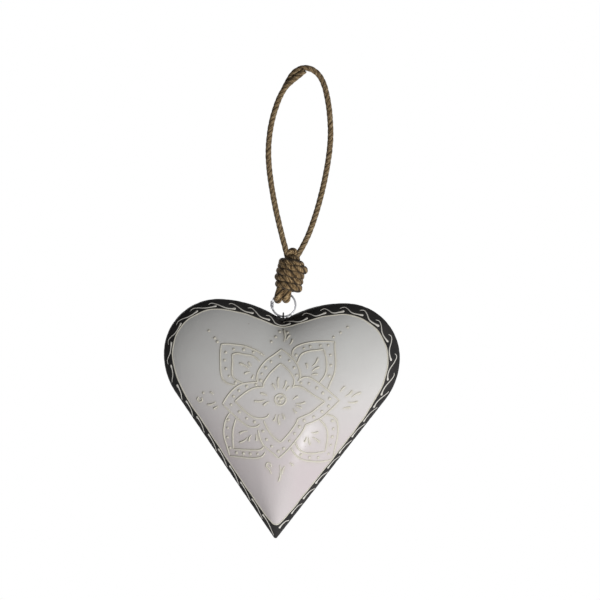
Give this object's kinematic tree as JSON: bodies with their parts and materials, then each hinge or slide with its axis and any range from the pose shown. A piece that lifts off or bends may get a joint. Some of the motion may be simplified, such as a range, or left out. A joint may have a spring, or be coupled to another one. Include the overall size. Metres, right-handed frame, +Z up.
{
  "type": "hanging tin heart ornament",
  "caption": "Puffed hollow tin heart with a painted rim, hung by a wire ring from a knotted jute rope loop.",
  "frame": {"origin": "the point under the rope loop where a nail or hook holds it, straight above the heart's middle plane", "axes": "+Z up, the front of the heart faces -Y, +X to the right seen from the front"},
  "size_m": [0.1502, 0.0478, 0.3013],
  "materials": {
    "white_paint": "satin off-white paint on pressed tin",
    "black_paint": "satin black paint on the rim",
    "galvanised_wire": "dull galvanised wire",
    "jute": "twisted brown jute rope"
  },
  "bodies": {
    "rope": {"rope_left_leg": "jute", "rope_right_leg": "jute", "knot_core": "jute", "knot_wraps": "jute", "ring_bight": "jute"},
    "ring": {"hanging_ring": "galvanised_wire", "ring_binding": "galvanised_wire"},
    "heart": {"front_shell": "white_paint", "back_shell": "white_paint", "seam_solder": "black_paint", "hanger_eye": "black_paint"}
  },
  "joints": [
    {"name": "ring_swing", "type": "hinge", "parent": "rope", "child": "ring", "pos_m": [0, 0, -0.13242], "axis": [1, 0, 0], "range_deg": [-30, 30]},
    {"name": "heart_sway", "type": "hinge", "parent": "ring", "child": "heart", "pos_m": [0, 0, -0.13992], "axis": [0, 1, 0], "range_deg": [-20, 20]}
  ]
}
